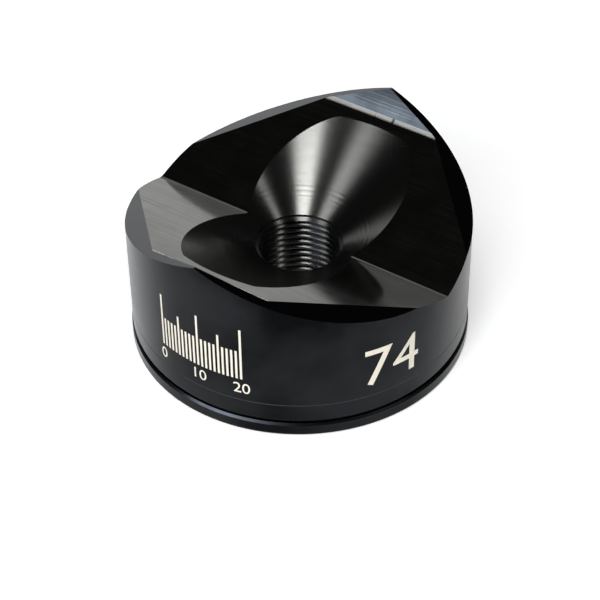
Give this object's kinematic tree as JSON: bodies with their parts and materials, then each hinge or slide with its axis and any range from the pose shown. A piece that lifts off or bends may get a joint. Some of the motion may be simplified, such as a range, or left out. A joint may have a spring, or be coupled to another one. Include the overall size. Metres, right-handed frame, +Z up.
{
  "type": "knockout punch",
  "caption": "Round tool-steel knockout punch with twin piercing peaks, sloped shear faces, a wide countersink and a tapped through hole, pulled through sheet metal by a draw stud.",
  "frame": {"origin": "centre of the round base, on the flat underside", "axes": "+Z up along the threaded hole, X along the valley, the two peaks at +Y and -Y"},
  "size_m": [0.0746, 0.0746, 0.0403],
  "materials": {
    "black_oxide_steel": "polished black oxide over turned and ground tool steel"
  },
  "bodies": {
    "root": {"punch": "black_oxide_steel"}
  },
  "joints": []
}
